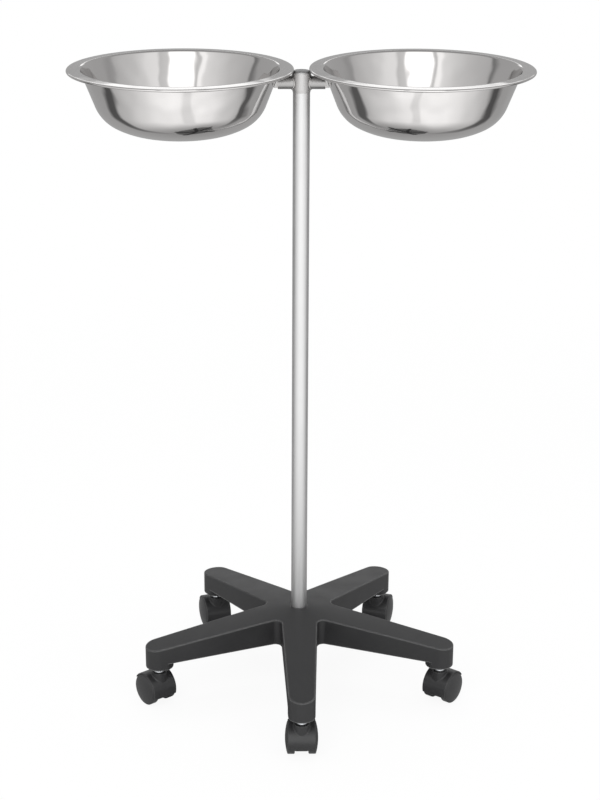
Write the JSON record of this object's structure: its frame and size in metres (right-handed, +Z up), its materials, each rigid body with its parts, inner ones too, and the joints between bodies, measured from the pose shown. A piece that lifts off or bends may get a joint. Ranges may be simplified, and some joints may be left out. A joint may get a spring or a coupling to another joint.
{
  "type": "double basin stand",
  "caption": "Mobile stand that holds wash basins side by side in rod rings on a column, with a moulded star base on twin-wheel castors.",
  "frame": {"origin": "on the floor, on the axis of the column", "axes": "+Z up along the column, +X towards the right-hand basin, -Y towards the front leg"},
  "size_m": [0.678, 0.4847, 1],
  "materials": {
    "polished_stainless": "spun and polished stainless steel",
    "satin_stainless": "satin stainless tube and rod",
    "base_nylon": "moulded black nylon, fine texture",
    "castor_nylon": "moulded black nylon, semi-matte",
    "zinc_steel": "bright zinc-plated steel"
  },
  "bodies": {
    "stand": {"star_base": "base_nylon", "column_tube": "satin_stainless", "column_cap": "satin_stainless", "foot_plug": "zinc_steel", "hub_bolt": "zinc_steel", "hub_washer": "zinc_steel", "cross_sleeve": "satin_stainless", "arm_left": "satin_stainless", "arm_right": "satin_stainless", "bracket_left": "satin_stainless", "bracket_right": "satin_stainless", "ring_left": "satin_stainless", "ring_right": "satin_stainless", "stem_grip_rings": "zinc_steel", "castor_front_stem": "zinc_steel", "castor_front_washer": "zinc_steel", "castor_right_stem": "zinc_steel", "castor_right_washer": "zinc_steel", "castor_back_right_stem": "zinc_steel", "castor_back_right_washer": "zinc_steel", "castor_back_left_stem": "zinc_steel", "castor_back_left_washer": "zinc_steel", "castor_left_stem": "zinc_steel", "castor_left_washer": "zinc_steel"},
    "left_basin": {"basin_left": "polished_stainless"},
    "right_basin": {"basin_right": "polished_stainless"},
    "castor_front": {"castor_front_hood": "castor_nylon", "castor_front_axle": "zinc_steel"},
    "wheel_front_left": {"castor_front_wheel_left": "castor_nylon"},
    "wheel_front_right": {"castor_front_wheel_right": "castor_nylon"},
    "castor_right": {"castor_right_hood": "castor_nylon", "castor_right_axle": "zinc_steel"},
    "wheel_right_left": {"castor_right_wheel_left": "castor_nylon"},
    "wheel_right_right": {"castor_right_wheel_right": "castor_nylon"},
    "castor_back_right": {"castor_back_right_hood": "castor_nylon", "castor_back_right_axle": "zinc_steel"},
    "wheel_back_right_left": {"castor_back_right_wheel_left": "castor_nylon"},
    "wheel_back_right_right": {"castor_back_right_wheel_right": "castor_nylon"},
    "castor_back_left": {"castor_back_left_hood": "castor_nylon", "castor_back_left_axle": "zinc_steel"},
    "wheel_back_left_left": {"castor_back_left_wheel_left": "castor_nylon"},
    "wheel_back_left_right": {"castor_back_left_wheel_right": "castor_nylon"},
    "castor_left": {"castor_left_hood": "castor_nylon", "castor_left_axle": "zinc_steel"},
    "wheel_left_left": {"castor_left_wheel_left": "castor_nylon"},
    "wheel_left_right": {"castor_left_wheel_right": "castor_nylon"}
  },
  "joints": [
    {"name": "left_basin_lift", "type": "slide", "parent": "stand", "child": "left_basin", "axis": [0, 0, 1], "range_m": [0, 0.11]},
    {"name": "right_basin_lift", "type": "slide", "parent": "stand", "child": "right_basin", "axis": [0, 0, 1], "range_m": [0, 0.11]},
    {"name": "castor_front_swivel", "type": "hinge", "parent": "stand", "child": "castor_front", "pos_m": [0, -0.234, 0.05], "axis": [0, 0, 1], "continuous": true},
    {"name": "wheel_front_left_spin", "type": "hinge", "parent": "castor_front", "child": "wheel_front_left", "pos_m": [0, -0.223, 0.025], "axis": [1, 0, 0], "continuous": true},
    {"name": "wheel_front_right_spin", "type": "hinge", "parent": "castor_front", "child": "wheel_front_right", "pos_m": [0, -0.223, 0.025], "axis": [1, 0, 0], "continuous": true},
    {"name": "castor_right_swivel", "type": "hinge", "parent": "stand", "child": "castor_right", "pos_m": [0.22255, -0.07231, 0.05], "axis": [0, 0, 1], "continuous": true},
    {"name": "wheel_right_left_spin", "type": "hinge", "parent": "castor_right", "child": "wheel_right_left", "pos_m": [0.22932, -0.06364, 0.025], "axis": [0.788, -0.6157, 0], "continuous": true},
    {"name": "wheel_right_right_spin", "type": "hinge", "parent": "castor_right", "child": "wheel_right_right", "pos_m": [0.22932, -0.06364, 0.025], "axis": [0.788, -0.6157, 0], "continuous": true},
    {"name": "castor_back_right_swivel", "type": "hinge", "parent": "stand", "child": "castor_back_right", "pos_m": [0.13754, 0.18931, 0.05], "axis": [0, 0, 1], "continuous": true},
    {"name": "wheel_back_right_left_spin", "type": "hinge", "parent": "castor_back_right", "child": "wheel_back_right_left", "pos_m": [0.14094, 0.19977, 0.025], "axis": [0.9511, -0.309, 0], "continuous": true},
    {"name": "wheel_back_right_right_spin", "type": "hinge", "parent": "castor_back_right", "child": "wheel_back_right_right", "pos_m": [0.14094, 0.19977, 0.025], "axis": [0.9511, -0.309, 0], "continuous": true},
    {"name": "castor_back_left_swivel", "type": "hinge", "parent": "stand", "child": "castor_back_left", "pos_m": [-0.13754, 0.18931, 0.05], "axis": [0, 0, 1], "continuous": true},
    {"name": "wheel_back_left_left_spin", "type": "hinge", "parent": "castor_back_left", "child": "wheel_back_left_left", "pos_m": [-0.14094, 0.19977, 0.025], "axis": [0.9511, 0.309, 0], "continuous": true},
    {"name": "wheel_back_left_right_spin", "type": "hinge", "parent": "castor_back_left", "child": "wheel_back_left_right", "pos_m": [-0.14094, 0.19977, 0.025], "axis": [0.9511, 0.309, 0], "continuous": true},
    {"name": "castor_left_swivel", "type": "hinge", "parent": "stand", "child": "castor_left", "pos_m": [-0.22255, -0.07231, 0.05], "axis": [0, 0, 1], "continuous": true},
    {"name": "wheel_left_left_spin", "type": "hinge", "parent": "castor_left", "child": "wheel_left_left", "pos_m": [-0.22932, -0.06364, 0.025], "axis": [0.788, 0.6157, 0], "continuous": true},
    {"name": "wheel_left_right_spin", "type": "hinge", "parent": "castor_left", "child": "wheel_left_right", "pos_m": [-0.22932, -0.06364, 0.025], "axis": [0.788, 0.6157, 0], "continuous": true}
  ]
}
